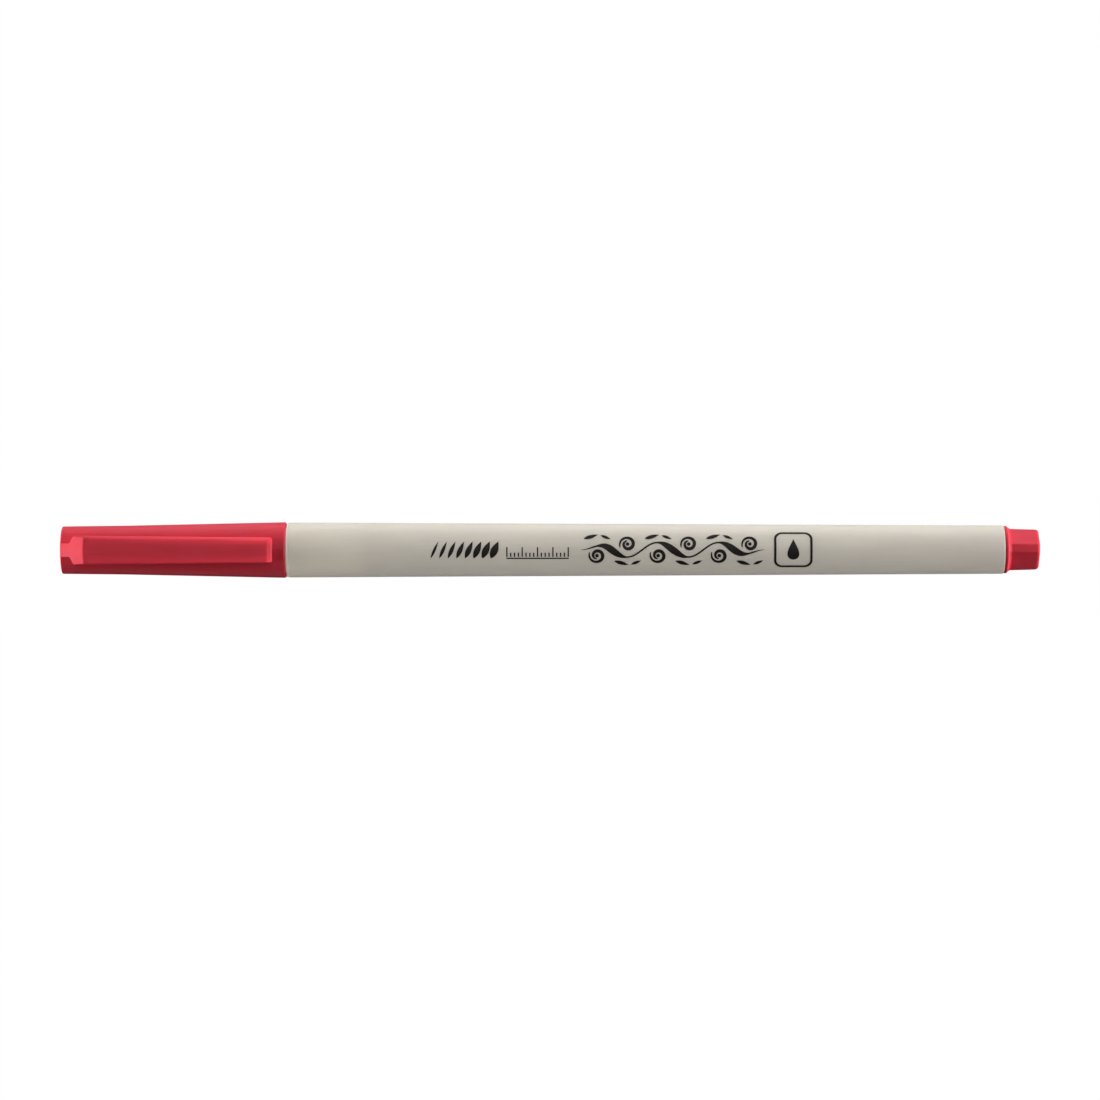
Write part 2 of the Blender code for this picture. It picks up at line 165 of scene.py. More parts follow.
# name, azimuth and elevation in degrees, shift along the pen in m, power in W
PANELS = [
    ("light_back_tail", 90, 5, 0.2, 1.0),
    ("light_back_top", 90, 70, 0.0, 0.81),
    ("light_back_floor", 90, -12, 0.0, 1.16),
    ("light_back_under", 90, -30, 0.0, 0.73),
    ("light_corner", 45, 10, 0.0, 0.69),
    ("light_cap_end", 180, 5, 0.0, 6.0),
    ("light_tail_end", 0, 5, 0.0, 5.0),
    ("light_front_under", 270, -30, 0.0, 0.23),
]


# ---------------------------------------------------------------- mesh building


def spaced(start, end, parts):
    """parts + 1 evenly spaced values."""
    return [start + (end - start) * k / parts for k in range(parts + 1)]


def ring_point(x, radius, angle):
    return Vector((x, radius * math.sin(angle), radius * math.cos(angle)))


def new_piece(name, work, material):
    """A shown object from a bmesh, smooth except at its sharp edges."""
    bmesh.ops.remove_doubles(work, verts=work.verts, dist=WELD)
    bmesh.ops.recalc_face_normals(work, faces=work.faces)
    mesh = bpy.data.meshes.new(name)
    work.to_mesh(mesh)
    work.free()
    obj = bpy.data.objects.new(name, mesh)
    bpy.context.scene.collection.objects.link(obj)
    finish_mesh(obj, material)
    return obj


def finish_mesh(obj, material):
    """Shading, material, and an attribute that remembers where the points are at rest, for the textures."""
    mesh = obj.data
    mesh.shade_smooth()
    mesh.set_sharp_from_angle(angle=SHARP_ANGLE)
    mesh.materials.clear()
    mesh.materials.append(material)
    rest = mesh.attributes.get("rest") or mesh.attributes.new("rest", "FLOAT_VECTOR", "POINT")
    for point, vertex in zip(rest.data, mesh.vertices):
        point.vector = vertex.co


def loft(rings, closed=False):
    """Faces between rings of equally many points. An open loft is closed with a face at each end."""
    work = bmesh.new()
    rows = [[work.verts.new(p) for p in ring] for ring in rings]
    pairs = list(zip(rows, rows[1:]))
    if closed:
        pairs.append((rows[-1], rows[0]))
    else:
        work.faces.new(rows[0])
        work.faces.new(rows[-1])
    for here, ahead in pairs:
        for i in range(len(here)):
            k = (i + 1) % len(here)
            work.faces.new((here[i], here[k], ahead[k], ahead[i]))
    bmesh.ops.remove_doubles(work, verts=work.verts, dist=WELD)
    bmesh.ops.dissolve_degenerate(work, edges=work.edges, dist=WELD)
    return work


def turned(points, closed, steps=ROUND_STEPS, ripple=None):
    """A loft of circles through (x, radius) points.

    ripple gives a share of the radius to add at an angle and x.
    """
    angles = [math.tau * i / steps for i in range(steps)]
    rings = []
    for x, radius in points:
        rings.append([ring_point(x, radius * (1 + (ripple(a, x) if ripple else 0)), a) for a in angles])
    return loft(rings, closed)


def unite(base, others):
    """Join other objects' meshes to base's, and remove the others."""
    for other in others:
        modifier = base.modifiers.new("join", "BOOLEAN")
        modifier.operation = "UNION"
        modifier.solver = "EXACT"
        modifier.object = other
    graph = bpy.context.evaluated_depsgraph_get()
    mesh = bpy.data.meshes.new_from_object(base.evaluated_get(graph))
    base.modifiers.clear()
    base.data = mesh
    for other in others:
        bpy.data.objects.remove(other)


# ---------------------------------------------------------------- sections taken from the frame


def meridian(node, angle=0.0):
    """(x, radius) points along a CAD node's section on one side of the axis, and if they form a loop."""
    work = bmesh.new()
    work.from_mesh(frame["nodes"][node].data)
    bmesh.ops.remove_doubles(work, verts=work.verts, dist=WELD)
    outward = Vector((0, math.sin(angle), math.cos(angle)))
    across = Vector((0, math.cos(angle), -math.sin(angle)))
    everything = work.verts[:] + work.edges[:] + work.faces[:]
    found = bmesh.ops.bisect_plane(work, geom=everything, dist=WELD, plane_co=(0, 0, 0), plane_no=across)
    edges = []
    for item in dict.fromkeys(found["geom_cut"]):
        if isinstance(item, bmesh.types.BMEdge) and (item.verts[0].co + item.verts[1].co).dot(outward) > WELD:
            edges.append(item)
    touching = {}
    for edge in edges:
        for vertex in edge.verts:
            touching.setdefault(vertex, []).append(edge)
    ends = [v for v, met in touching.items() if len(met) == 1]
    closed = not ends

    def place(vertex):
        return vertex.co.x, vertex.co.dot(outward)

    # Where there is a choice, the lowest place is taken, so that each run gives the same mesh.
    vertex = min(ends or touching, key=place)
    first, path, used = vertex, [vertex], set()
    while True:
        ahead = {e.other_vert(vertex): e for e in touching[vertex] if e not in used}
        if not ahead:
            break
        vertex = min(ahead, key=place)
        used.add(ahead[vertex])
        if vertex is first:
            break
        path.append(vertex)
    points = [Vector(place(v)) for v in path]
    work.free()
    return without_straights(points, closed), closed


def without_straights(points, closed):
    """The same outline without repeated points and points in the middle of straights."""
    kept = []
    count = len(points)
    for i, here in enumerate(points):
        if not closed and i in (0, count - 1):
            kept.append(here)
            continue
        back, ahead = here - points[i - 1], points[(i + 1) % count] - here
        if back.length < WELD or ahead.length < WELD:
            continue
        if abs(back.normalized().cross(ahead.normalized())) > STRAIGHT:
            kept.append(here)
    return kept


def softened(points, closed, reach):
    """The same outline with each corner rounded, from up to reach before it to up to reach after it."""
    result = []
    count = len(points)
    for i, here in enumerate(points):
        if not closed and i in (0, count - 1):
            result.append(here)
            continue
        back, ahead = points[i - 1] - here, points[(i + 1) % count] - here
        cut = min(reach, 0.4 * back.length, 0.4 * ahead.length)
        start, end = here + back.normalized() * cut, here + ahead.normalized() * cut
        for k in range(CORNER_STEPS + 1):
            t = k / CORNER_STEPS
            result.append(start * (1 - t) ** 2 + here * 2 * t * (1 - t) + end * t**2)
    return result


def turned_like(node, name, material, reach, steps=ROUND_STEPS):
    """A finely turned copy of a CAD node, with softened edges, that stands for the node."""
    points, closed = meridian(node)
    piece = new_piece(name, turned(softened(points, closed, reach), closed, steps), material)
    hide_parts(node)
    return piece


def outer_radius(node, angle=0.0):
    """A function of x that gives the radius of a CAD tube's outer surface."""
    points, _ = meridian(node, angle)
    low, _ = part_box(node)
    split = OUTER_SHARE * max(p.y for p in points)
    outer = sorted((p for p in points if p.y > split), key=lambda p: p.x)

    def radius(x):
        for a, b in zip(outer, outer[1:]):
            if a.x <= x <= b.x:
                return a.y + (b.y - a.y) * (x - a.x) / (b.x - a.x)
        return outer[0].y if x < low.x else outer[-1].y

    return radius


# ---------------------------------------------------------------- materials


class Finish:
    """A material's node tree, with short calls for the nodes that the finishes share. Lengths are in mm."""

    def __init__(self, name):
        self.material = bpy.data.materials.new(name)
        self.material.use_nodes = True
        self.tree = self.material.node_tree
        self.surface = self.tree.nodes["Principled BSDF"]
        place = self.tree.nodes.new("ShaderNodeAttribute")
        place.attribute_name = "rest"
        self.place = self.scaled(place.outputs["Vector"], (1 / MM,) * 3)

    def set(self, socket, value):
        if isinstance(value, bpy.types.NodeSocket):
            self.tree.links.new(value, socket)
        else:
            socket.default_value = value

    def shade(self, **values):
        for label, value in values.items():
            self.set(self.surface.inputs[label.replace("_", " ")], value)

    def scaled(self, vector, factors):
        node = self.tree.nodes.new("ShaderNodeVectorMath")
        node.operation = "MULTIPLY"
        self.set(node.inputs[0], vector)
        node.inputs[1].default_value = factors
        return node.outputs[0]

    def maths(self, operation, a, b=0.0):
        node = self.tree.nodes.new("ShaderNodeMath")
        node.operation = operation
        self.set(node.inputs[0], a)
        self.set(node.inputs[1], b)
        return node.outputs[0]

    def noise(self, per_mm, detail=3.0, stretch=1.0):
        """Noise from 0 to 1 with so many features per mm, drawn out along the pen by stretch."""
        node = self.tree.nodes.new("ShaderNodeTexNoise")
        self.set(node.inputs["Vector"], self.scaled(self.place, (per_mm / stretch, per_mm, per_mm)))
        node.inputs["Scale"].default_value = 1.0
        node.inputs["Detail"].default_value = detail
        return node.outputs["Fac"]

    def spread(self, value, low, high, start=0.3, stop=0.7):
        """value from start to stop mapped to low to high."""
        node = self.tree.nodes.new("ShaderNodeMapRange")
        self.set(node.inputs["Value"], value)
        node.inputs["From Min"].default_value = start
        node.inputs["From Max"].default_value = stop
        node.inputs["To Min"].default_value = low
        node.inputs["To Max"].default_value = high
        return node.outputs["Result"]

    def mix(self, share, colour_a, colour_b):
        node = self.tree.nodes.new("ShaderNodeMix")
        node.data_type = "RGBA"
        self.set(node.inputs["Factor"], share)
        self.set(node.inputs["A"], (*colour_a, 1.0) if isinstance(colour_a, tuple) else colour_a)
        self.set(node.inputs["B"], (*colour_b, 1.0) if isinstance(colour_b, tuple) else colour_b)
        return node.outputs["Result"]

    def tint(self, colour, value):
        """colour, made lighter or darker by value."""
        node = self.tree.nodes.new("ShaderNodeHueSaturation")
        self.set(node.inputs["Color"], (*colour, 1.0) if isinstance(colour, tuple) else colour)
        self.set(node.inputs["Value"], value)
        return node.outputs["Color"]

    def bump(self, height, depth_mm):
        node = self.tree.nodes.new("ShaderNodeBump")
        node.inputs["Distance"].default_value = depth_mm * MM
        self.set(node.inputs["Height"], height)
        self.shade(Normal=node.outputs["Normal"])


def moulded_plastic(name, colour, roughness, flow, gloss, depth, grain=0.004, glow=0.0):
    """Satin moulded plastic: cloudy pigment, flow lines along the pen, a fine grain and rubbed spots.

    flow and grain are the strengths of the flow lines and, in mm, of the grain. depth is how far in mm each
    colour of light spreads in it, and glow a painted glow: emission that makes the plastic shine by itself.
    """
    finish = Finish(name)
    clouds = finish.spread(finish.noise(0.22, detail=2.0, stretch=2.5), 0.97, 1.03)
    streaks = finish.spread(finish.noise(3.2, detail=4.0, stretch=28.0), 1 - flow, 1 + flow)
    # painted highlight: the clip's side edges are made paler through a mesh attribute that the clip's code
    # sets
    painted_highlight = finish.tree.nodes.new("ShaderNodeAttribute")
    painted_highlight.attribute_name = "painted_highlight"
    highlight_lift = finish.spread(painted_highlight.outputs["Fac"], 1.0, 1 + PAINTED_HIGHLIGHT_LIGHTENING, start=0, stop=1)
    uneven = finish.maths("MULTIPLY", clouds, streaks)
    pigment = finish.tint(colour, finish.maths("MULTIPLY", uneven, highlight_lift))
    rubbed = finish.spread(finish.noise(0.7, detail=5.0, stretch=1.6), -0.045, 0.045)
    fine = finish.noise(11.0, detail=2.0)
    polish = finish.maths("ADD", finish.maths("ADD", rubbed, roughness), finish.spread(fine, -0.02, 0.02))
    finish.shade(Base_Color=pigment, Roughness=polish, IOR=1.49, Specular_IOR_Level=gloss)
    finish.shade(Subsurface_Weight=0.8, Subsurface_Radius=depth, Subsurface_Scale=MM)
    # painted glow: emission makes the plastic shine by itself, though it is no lamp
    finish.shade(Emission_Color=pigment, Emission_Strength=glow)
    relief = finish.maths("ADD", fine, finish.maths("MULTIPLY", finish.noise(1.6, stretch=20.0), 0.6))
    finish.bump(relief, grain)
    return finish.material


def printing_ink(name):
    """Thin opaque pad-printed ink with a slightly uneven gloss."""
    finish = Finish(name)
    density = finish.spread(finish.noise(5.0, detail=4.0), 0.0, 1.0)
    finish.shade(
        Base_Color=finish.mix(density, (0.010, 0.009, 0.008), (0.021, 0.019, 0.017)),
        Roughness=finish.spread(finish.noise(2.4), 0.42, 0.56),
        IOR=1.5,
        Specular_IOR_Level=0.15,
    )
    finish.bump(finish.noise(9.0), 0.003)
    return finish.material


def bonded_fibre(name, dry, wet, fibres_per_mm, relief):
    """Bonded parallel fibres: long streaks along the pen, wetter and darker in patches."""
    finish = Finish(name)
    strands = finish.noise(fibres_per_mm, detail=2.0, stretch=34.0)
    patches = finish.noise(0.8, detail=3.0, stretch=3.0)
    soaked = finish.maths("MULTIPLY", finish.spread(strands, 0.35, 1.0), finish.spread(patches, 0.7, 1.15))
    finish.shade(
        Base_Color=finish.mix(soaked, wet, dry),
        Roughness=finish.spread(patches, 0.55, 0.85),
        Sheen_Weight=0.25,
        Sheen_Roughness=0.4,
    )
    finish.bump(strands, relief)
    return finish.material


def clear_wrap(name):
    """Thin clear film with faint stretch lines."""
    finish = Finish(name)
    lines = finish.noise(2.5, detail=3.0, stretch=12.0)
    finish.shade(
        Base_Color=finish.tint((0.86, 0.87, 0.89), finish.spread(lines, 0.94, 1.04)),
        Roughness=finish.spread(lines, 0.08, 0.22),
        Alpha=0.35,
        IOR=1.5,
    )
    finish.bump(lines, 0.01)
    return finish.material


RED = moulded_plastic(
    "satin_red",
    (0.67, 0.048, 0.075),
    roughness=0.46,
    flow=0.045,
    gloss=0.08,
    depth=(0.35, 0.1, 0.1),
)
GREY = moulded_plastic(
    "satin_warm_grey",
    (0.52, 0.489, 0.432),
    roughness=0.45,
    flow=0.015,
    grain=0.003,
    gloss=0.15,
    depth=(3.0, 2.8, 2.5),
    # painted glow: the barrel shines by itself, lifting its shaded lower side
    glow=0.27,
)
NATURAL = moulded_plastic(
    "natural_white",
    (0.84, 0.81, 0.75),
    roughness=0.42,
    flow=0.02,
    gloss=0.2,
    depth=(0.5, 0.5, 0.4),
    # painted glow: the white parts shine by themselves, so the grip's flange shows as a bright line
    glow=0.16,
)
INK = printing_ink("black_print")
NIB = bonded_fibre("nib_fibre", (0.52, 0.018, 0.035), (0.20, 0.004, 0.010), 15.0, 0.02)
WICK = bonded_fibre("wick_fibre", (0.60, 0.03, 0.05), (0.30, 0.006, 0.014), 9.0, 0.03)
FILM = clear_wrap("wrap_film")


# ---------------------------------------------------------------- barrel, section and nib


def make_barrel():
    piece = turned_like("barrel", "barrel_tube", GREY, reach=0.10 * MM)
    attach(piece, "barrel")


def make_front():
    section = turned_like("front_section", "grip_section", NATURAL, reach=0.25 * MM)
    holder = turned_like("nib_holder", "nib_ferrule", NATURAL, reach=0.12 * MM, steps=SMALL_ROUND_STEPS)
    for piece in (section, holder):
        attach(piece, "barrel")


def make_nib():
    """The shank and the tip as the one piece of fibre that they are, tapering from the tip_bend joint at the
    holder's mouth.
    """
    shank_low, shank_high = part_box("nib_shank")
    tip_low, tip_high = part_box("brush_tip")
    pivot = Vector(next(j["pos_m"] for j in frame["joints"] if j["name"] == "tip_bend"))
    shank_radius = shank_high.z
    belly = tip_high.z
    length = pivot.x - tip_low.x
    point_radius = 0.05 * MM
    edge = 0.1 * MM
    points = [(shank_high.x, 0), (shank_high.x, shank_radius - edge), (shank_high.x - edge, shank_radius)]
    for x in spaced(shank_high.x, pivot.x, SHANK_STEPS)[1:]:
        points.append((x - edge, shank_radius))
    for k in range(1, TAPER_STEPS):
        share = k / TAPER_STEPS
        swell = shank_radius + (belly - shank_radius) * math.sin(min(1, share * 4) * math.pi / 2)
        radius = swell * (1 - share**1.8)
        points.append((pivot.x - share * length, max(radius, point_radius)))
    points.append((tip_low.x + 0.02 * MM, point_radius * 0.7))
    points.append((tip_low.x, 0))

    def bristles(angle, x):
        """Fine ridges along the tip, fading out towards the shank."""
        fade = min(1, max(0, (pivot.x - x) / length) * 3)
        wave = math.sin(31 * angle) + 0.6 * math.sin(47 * angle + 1.3) + 0.4 * math.sin(19 * angle + 0.4)
        return -0.008 * fade * (1 + wave / 2)

    piece = new_piece("brush_nib", turned(points, False, steps=ROUND_STEPS, ripple=bristles), NIB)
    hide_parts("nib_shank", "brush_tip")
    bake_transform(piece)


def make_ink_supply():
    core = turned_like("relay_core", "feed_wick", WICK, reach=0.1 * MM, steps=SMALL_ROUND_STEPS)
    store = turned_like("ink_reservoir", "ink_store", WICK, reach=0.1 * MM)
    wrap = turned_like("reservoir_film", "ink_store_wrap", FILM, reach=0.02 * MM)
    for piece in (core, store, wrap):
        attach(piece, "barrel")


# ---------------------------------------------------------------- tail plug


def divided(points, longest):
    """The same closed outline with more points on its long straights."""
    result = []
    for here, ahead in zip(points, points[1:] + points[:1]):
        parts = max(1, math.ceil((ahead - here).length / longest))
        result += [here.lerp(ahead, k / parts) for k in range(parts)]
    return result


def boss_outline():
    """(angle, radius) points round the boss's section at its foot, with its eight long edges rounded."""
    half_narrow = math.radians(45) - BOSS_FLAT_ARC / 2
    corners = []
    for k in range(4):
        for side in (-half_narrow, half_narrow):
            angle = PLUG_TURN + math.radians(90 * k) + side
            corners.append(Vector((math.cos(angle), math.sin(angle))) * BOSS_CORNER_RADIUS)
    outline = divided(softened(corners, True, BOSS_EDGE_ROUNDING), 0.35 * MM)
    return [(math.atan2(p.y, p.x), p.length) for p in outline]


def make_tail_plug():
    """One skin from the hollow's bottom, over the stem, collar, cove and boss, to the dimple in the end."""
    outline = boss_outline()
    points, _ = meridian("tail_plug", PLUG_TURN)
    stem = points[: 1 + max(i for i, p in enumerate(points) if p.x < COLLAR_RIM + WELD)]
    rim_radius = stem[-1].y

    def ring(x, radius, squareness=0.0, scale=1.0):
        """From round with the given radius at squareness 0 to the boss's section at 1."""
        return [ring_point(x, radius + (r * scale - radius) * squareness, angle) for angle, r in outline]

    rings = [ring(p.x, p.y) for p in softened(stem, False, 0.10 * MM)[:-1]]
    for k in range(COVE_STEPS + 1):
        share = k / COVE_STEPS
        x = COLLAR_RIM + (BOSS_FOOT - COLLAR_RIM) * share
        rings.append(ring(x, rim_radius, 1 - (1 - share) ** COVE_POWER))
    end_scale = BOSS_END_RADIUS / BOSS_CORNER_RADIUS
    for k in range(END_STEPS + 1):
        a = math.radians(90) * k / END_STEPS
        inset = BOSS_END_ROUNDING * (1 - math.cos(a)) / BOSS_CORNER_RADIUS
        rings.append(ring(-BOSS_END_ROUNDING * (1 - math.sin(a)), 0, 1.0, end_scale - inset))
    dimple = [(0, 1.15 * GATE_RADIUS), (-0.3 * GATE_DEPTH, GATE_RADIUS), (-GATE_DEPTH, 0.8 * GATE_RADIUS)]
    rings += [ring(x, radius) for x, radius in dimple]
    piece = new_piece("tail_stopper", loft(rings), RED)
    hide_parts("tail_plug")
    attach(piece, "barrel")


# ---------------------------------------------------------------- cap and clip


def paint_clip_highlight(mesh):
    """Painted highlight: mark the clip's side edges to be drawn paler, most near its tip, standing in for
    light catching them.
    """
    tip_x, crest_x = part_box("clip")[1].x, CLIP_CREST + 1 * MM
    painted_highlight = mesh.attributes.new("painted_highlight", "FLOAT", "POINT")
    for value, vertex in zip(painted_highlight.data, mesh.vertices):
        x, y, z = vertex.co
        if z > CLIP_UNDERSIDE and crest_x < x < tip_x:
            sideways = min(1.0, max(0.0, (abs(y) - HIGHLIGHT_FROM) / (HIGHLIGHT_TO - HIGHLIGHT_FROM)))
            value.value = sideways * (0.25 + 0.75 * (x - crest_x) / (tip_x - crest_x))


def between(x, stations):
    """Value at x on straight lines through (x, value) stations in rising order of x."""
    for (x_a, a), (x_b, b) in zip(stations, stations[1:]):
        if x <= x_b:
            return a + (b - a) * max(0.0, x - x_a) / (x_b - x_a)
    return stations[-1][1]


def clip_section(half_width, top, bottom, chamfer, sag):
    """(across, height) points round the clip: crowned top, chamfered edges, straight sides, flat underside.

    The crown is nearly flat in the middle and falls by sag on its way to the chamfer. Both are smaller on the
    -Y side.
    """
    thickness = top - bottom

    def side(share):
        inner = half_width - chamfer * share
        side_sag = min(sag * share, 0.3 * thickness)
        drop = min(chamfer * share * CLIP_CHAMFER_SLOPE, 0.6 * (thickness - side_sag))
        crown = [Vector((inner * f, top - side_sag * f**CLIP_CROWN_POWER)) for f in CLIP_CROWN_SHARES]
        below = [Vector((half_width, crown[-1].y - drop)), Vector((half_width, bottom))]
        below.append(Vector((half_width / 2, bottom)))
        return crown[:-1] + softened(crown[-2:] + below, False, CLIP_EDGE_ROUNDING)[1:]

    back, front = side(1), side(CLIP_FRONT_SHARE)
    return back + [Vector((0, bottom))] + [Vector((-p.x, p.y)) for p in reversed(front[1:])]


def past_bend(x, bend_x, reach):
    """Distance of x past bend_x, growing smoothly from nothing over reach on each side of it."""
    past = x - bend_x + reach
    if past < 2 * reach:
        return max(0.0, past) ** 2 / (4 * reach)
    return past - reach


def make_clip_solid():
    """Neck sunk into the cap's end, sloping root, shoulders, and a crowned arm with a bump under its tip."""
    end_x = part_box("cap_shell")[0].x
    low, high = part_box("clip")
    end_radius = outer_radius("cap_shell", math.pi)(end_x + 0.2 * MM)
    start_x, tip_x, crest_height = end_x + 0.02 * MM, high.x, high.z
    slope = (crest_height - end_radius) / (CLIP_CREST - end_x)
    slope_x, chamfer_x, corner_x = tip_x - CLIP_TIP_SLOPE, tip_x - CLIP_TIP_CHAMFER, tip_x - CLIP_TIP_CORNER

    def top(x):
        falling = max(0.0, min(x, chamfer_x) - slope_x) / (chamfer_x - slope_x)
        height = end_radius + slope * (x - end_x - past_bend(x, CLIP_CREST, CREST_ROUNDING))
        chamfer_drop = CLIP_TIP_CHAMFER_SLOPE * past_bend(x, chamfer_x, CLIP_TIP_ROUNDING)
        return height - CLIP_TIP_DROP * falling**2 - chamfer_drop

    widths = [(start_x, CLIP_NECK_HALF_WIDTH), (CLIP_NECK_FRONT, CLIP_NECK_HALF_WIDTH)]
    widths += [(CLIP_SHOULDER, CLIP_ROOT_HALF_WIDTH), (tip_x, CLIP_TIP_HALF_WIDTH)]

    def half_width(x):
        past = max(0.0, x - corner_x)
        return between(x, widths) - CLIP_TIP_CORNER + math.sqrt(max(0.0, CLIP_TIP_CORNER**2 - past**2))

    under = [
        Vector((CLIP_FOOT, low.z)),
        Vector((CLIP_SHOULDER, low.z)),
        Vector((CLIP_CREST + 0.3 * MM, CLIP_UNDERSIDE)),
        Vector((tip_x - 5.7 * MM, CLIP_UNDERSIDE)),
        Vector((tip_x - 3.1 * MM, CLIP_BUMP)),
        Vector((tip_x - 1.5 * MM, CLIP_BUMP)),
        Vector((tip_x, CLIP_BUMP + 0.05 * MM)),
    ]
    under = [tuple(p) for p in softened(under, False, 0.8 * MM)]
    chamfers = [(start_x, 0.08 * MM), (CLIP_SHOULDER, 0.10 * MM), (CLIP_CREST, 0.34 * MM)]
    chamfers += [(CLIP_CREST + 8 * MM, 0.42 * MM), (slope_x, 0.42 * MM)]
    sags = [(CLIP_CREST, 0.0), (CLIP_CREST + 1 * MM, 0.16 * MM), (CLIP_CREST + 20 * MM, 0.20 * MM)]
    sags += [(slope_x - 2 * MM, 0.36 * MM), (slope_x, 0.36 * MM)]
    stations = [start_x, CLIP_NECK_FRONT, CLIP_FOOT, CLIP_FOOT + 0.01 * MM]
    stations += spaced(CLIP_FOOT + 0.01 * MM, CLIP_SHOULDER, 4)[1:]
    stations += spaced(CLIP_SHOULDER, CLIP_CREST - CREST_ROUNDING, 6)[1:]
    stations += spaced(CLIP_CREST - CREST_ROUNDING, CLIP_CREST + CREST_ROUNDING, 6)[1:]
    stations += spaced(CLIP_CREST + CREST_ROUNDING, CLIP_CREST + 2 * MM, 6)[1:]
    stations += spaced(CLIP_CREST + 2 * MM, slope_x, 24)[1:]
    stations += spaced(slope_x, chamfer_x - CLIP_TIP_ROUNDING, 10)[1:]
    stations += spaced(chamfer_x - CLIP_TIP_ROUNDING, corner_x, 10)[1:]
    stations += [corner_x + CLIP_TIP_CORNER * math.sin(turn) for turn in spaced(0.1, math.radians(90), 8)]
    rings = []
    for x in stations:
        bottom = between(x, under) if x > CLIP_FOOT else CLIP_SUNK
        height = max(top(x), bottom + 0.35 * MM)
        width = half_width(x)
        arch = CREST_ARCH * max(0.0, 1 - abs(x - CLIP_CREST) / (1.5 * MM))
        section = clip_section(width, height, bottom, between(x, chamfers), between(x, sags))
        rings.append([Vector((x + arch * (p.x / width) ** 2, p.x, p.y)) for p in section])
    return new_piece("clip_solid", loft(rings), RED)


def make_rib(index, inner_radius, outer, start_x, end_x):
    """One of the thin ribs between the cap's wall and the inner cup."""
    work = bmesh.new()
    bmesh.ops.create_cube(work, size=1.0)
    bmesh.ops.scale(work, vec=(end_x - start_x, CAP_RIB_WIDTH, outer - inner_radius), verts=work.verts)
    middle = Vector(((start_x + end_x) / 2, 0, (inner_radius + outer) / 2))
    bmesh.ops.translate(work, vec=middle, verts=work.verts)
    turn = Matrix.Rotation(math.tau * (index + 0.5) / CAP_RIBS, 3, "X")
    bmesh.ops.rotate(work, matrix=turn, verts=work.verts)
    return new_piece(f"rib_{index}", work, RED)


def make_cap():
    """The cap and its clip as the one moulding that they are; on the real pen the clip bends at its neck."""
    points, _ = meridian("cap_shell", math.pi)
    piece = new_piece("cap_moulding", turned(softened(points, True, 0.09 * MM), True), RED)
    cup_low, cup_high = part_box("inner_cap")
    inner_wall = max(p.y for p in points if p.x < cup_low.x and p.y < CAP_WALL_SPLIT)
    extras = [make_clip_solid()]
    rib_foot, rib_top = cup_high.y + CAP_RIB_GAP, inner_wall + CAP_RIB_SUNK
    for i in range(CAP_RIBS):
        extras.append(make_rib(i, rib_foot, rib_top, cup_low.x - CAP_RIB_OVERHANG, CAP_RIB_FRONT))
    unite(piece, extras)
    finish_mesh(piece, RED)
    # painted highlight on the clip's side edges
    paint_clip_highlight(piece.data)
    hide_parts("cap_shell", "clip")
    low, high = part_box("cap_shell")
    mouth = Vector((high.x, 0, high.y + 0.02 * MM))
    end = Vector((low.x, 0, outer_radius("cap_shell", math.pi)(low.x + 0.2 * MM) + 0.06 * MM))
    upward = (end - mouth).cross(Vector((0, 1, 0))).normalized()
    upward = upward if upward.z > 0 else -upward
    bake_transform(piece)
    cup = turned_like("inner_cap", "sealing_cup", NATURAL, reach=0.12 * MM)
    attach(cup, "cap")


# ---------------------------------------------------------------- printing


def ribbon(centre, half_width, steps, across=4, closed=False):
    """Rows of (u, v) points across a stroke. centre and half_width are functions of t from 0 to 1."""
    rows = []
    for k in range(steps if closed else steps + 1):
        t = k / steps
        ahead, back = (t + 1e-4, t - 1e-4) if closed else (min(1, t + 1e-4), max(0, t - 1e-4))
        along = (centre(ahead % 1 if closed else ahead) - centre(back % 1 if closed else back)).normalized()
        side = Vector((-along.y, along.x)) * half_width(t)
        rows.append([centre(t) + side * (2 * i / across - 1) for i in range(across + 1)])
    return rows, closed


def printed(name, strokes):
    """Thin closed slabs of ink, wrapped on the barrel, from strokes given in mm along and round it."""
    surface = outer_radius("barrel")
    work = bmesh.new()
    for rows, closed in strokes:
        layers = []
        for proud in (INK_PROUD, -INK_SUNK):
            layer = []
            for row in rows:
                line = []
                for point in row:
                    x = point.x * MM
                    radius = surface(x)
                    line.append(work.verts.new(ring_point(x, radius + proud, point.y * MM / radius)))
                layer.append(line)
            layers.append(layer)
        top, bottom = layers
        count, width = len(rows), len(rows[0])
        for i in range(count if closed else count - 1):
            k = (i + 1) % count
            for j in range(width - 1):
                work.faces.new((top[i][j], top[i][j + 1], top[k][j + 1], top[k][j]))
                work.faces.new((bottom[i][j], bottom[k][j], bottom[k][j + 1], bottom[i][j + 1]))
            for j in (0, width - 1):
                work.faces.new((top[i][j], top[k][j], bottom[k][j], bottom[i][j]))
        if not closed:
            for i in (0, count - 1):
                for j in range(width - 1):
                    work.faces.new((top[i][j], top[i][j + 1], bottom[i][j + 1], bottom[i][j]))
    bmesh.ops.remove_doubles(work, verts=work.verts, dist=WELD)
    bmesh.ops.dissolve_degenerate(work, edges=work.edges, dist=WELD)
    piece = new_piece(name, work, INK)
    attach(piece, "barrel")


def leaf(u, v, length, half_width, slant_deg, across=4):
    """A brush dab: pointed at both ends, fullest a little past its middle."""
    direction = Vector((math.cos(math.radians(slant_deg)), math.sin(math.radians(slant_deg))))
    middle = Vector((u, v))
    return ribbon(
        lambda t: middle + direction * length * (t - 0.5),
        lambda t: half_width * math.sin(math.pi * t**0.85),
        steps=22,
        across=across,
    )


def dot(u, v, radius):
    return ribbon(
        lambda t: Vector((u - radius * math.cos(math.pi * t), v)),
        lambda t: radius * math.sin(math.pi * t),
        steps=18,
    )


